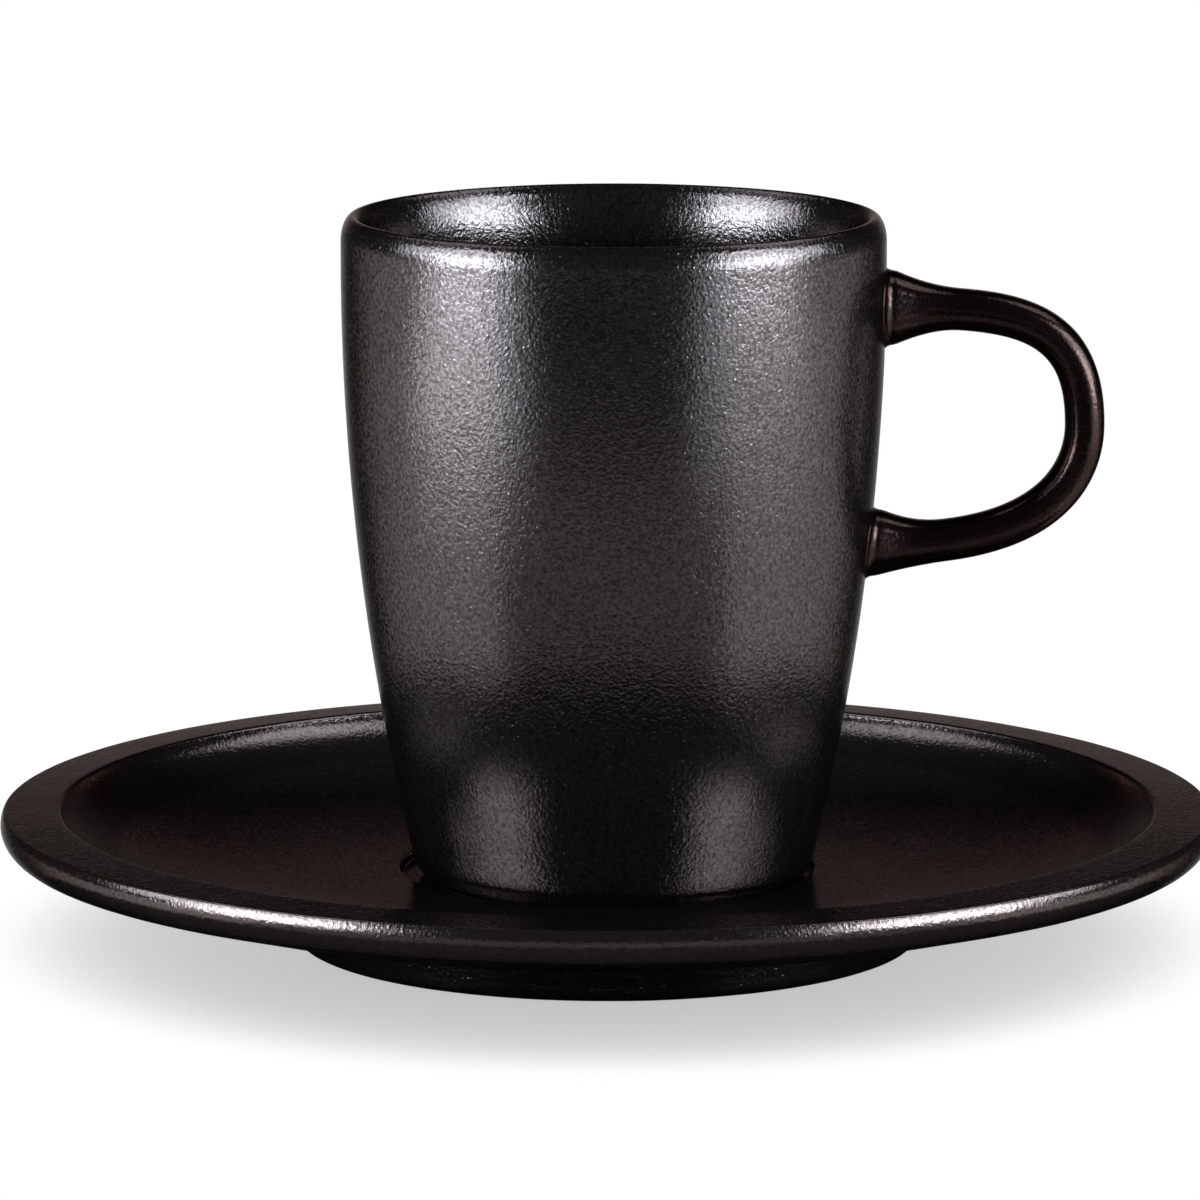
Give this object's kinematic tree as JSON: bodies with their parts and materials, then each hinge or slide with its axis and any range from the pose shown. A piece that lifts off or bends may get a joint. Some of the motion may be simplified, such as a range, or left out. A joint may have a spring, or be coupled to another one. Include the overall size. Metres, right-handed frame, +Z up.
{
  "type": "coffee cup with saucer",
  "caption": "Tall coffee cup with a rounded loop handle, standing in the shallow well of a round saucer that has a broad flat lip and a foot ring.",
  "frame": {"origin": "middle of the saucer's foot ring, on the surface it stands on", "axes": "+Z up, +X from the cup toward its handle"},
  "size_m": [0.17, 0.17, 0.102],
  "materials": {
    "saucer_glaze": "dark brown-black lustre glaze with a fine pebbled texture",
    "cup_glaze": "dark brown-black lustre glaze with a fine pebbled texture"
  },
  "bodies": {
    "saucer": {"saucer": "saucer_glaze"},
    "cup": {"cup_body": "cup_glaze", "cup_handle": "cup_glaze"}
  },
  "joints": [
    {"name": "cup_lift", "type": "slide", "parent": "saucer", "child": "cup", "axis": [0, 0, 1], "range_m": [0, 0.06]}
  ]
}
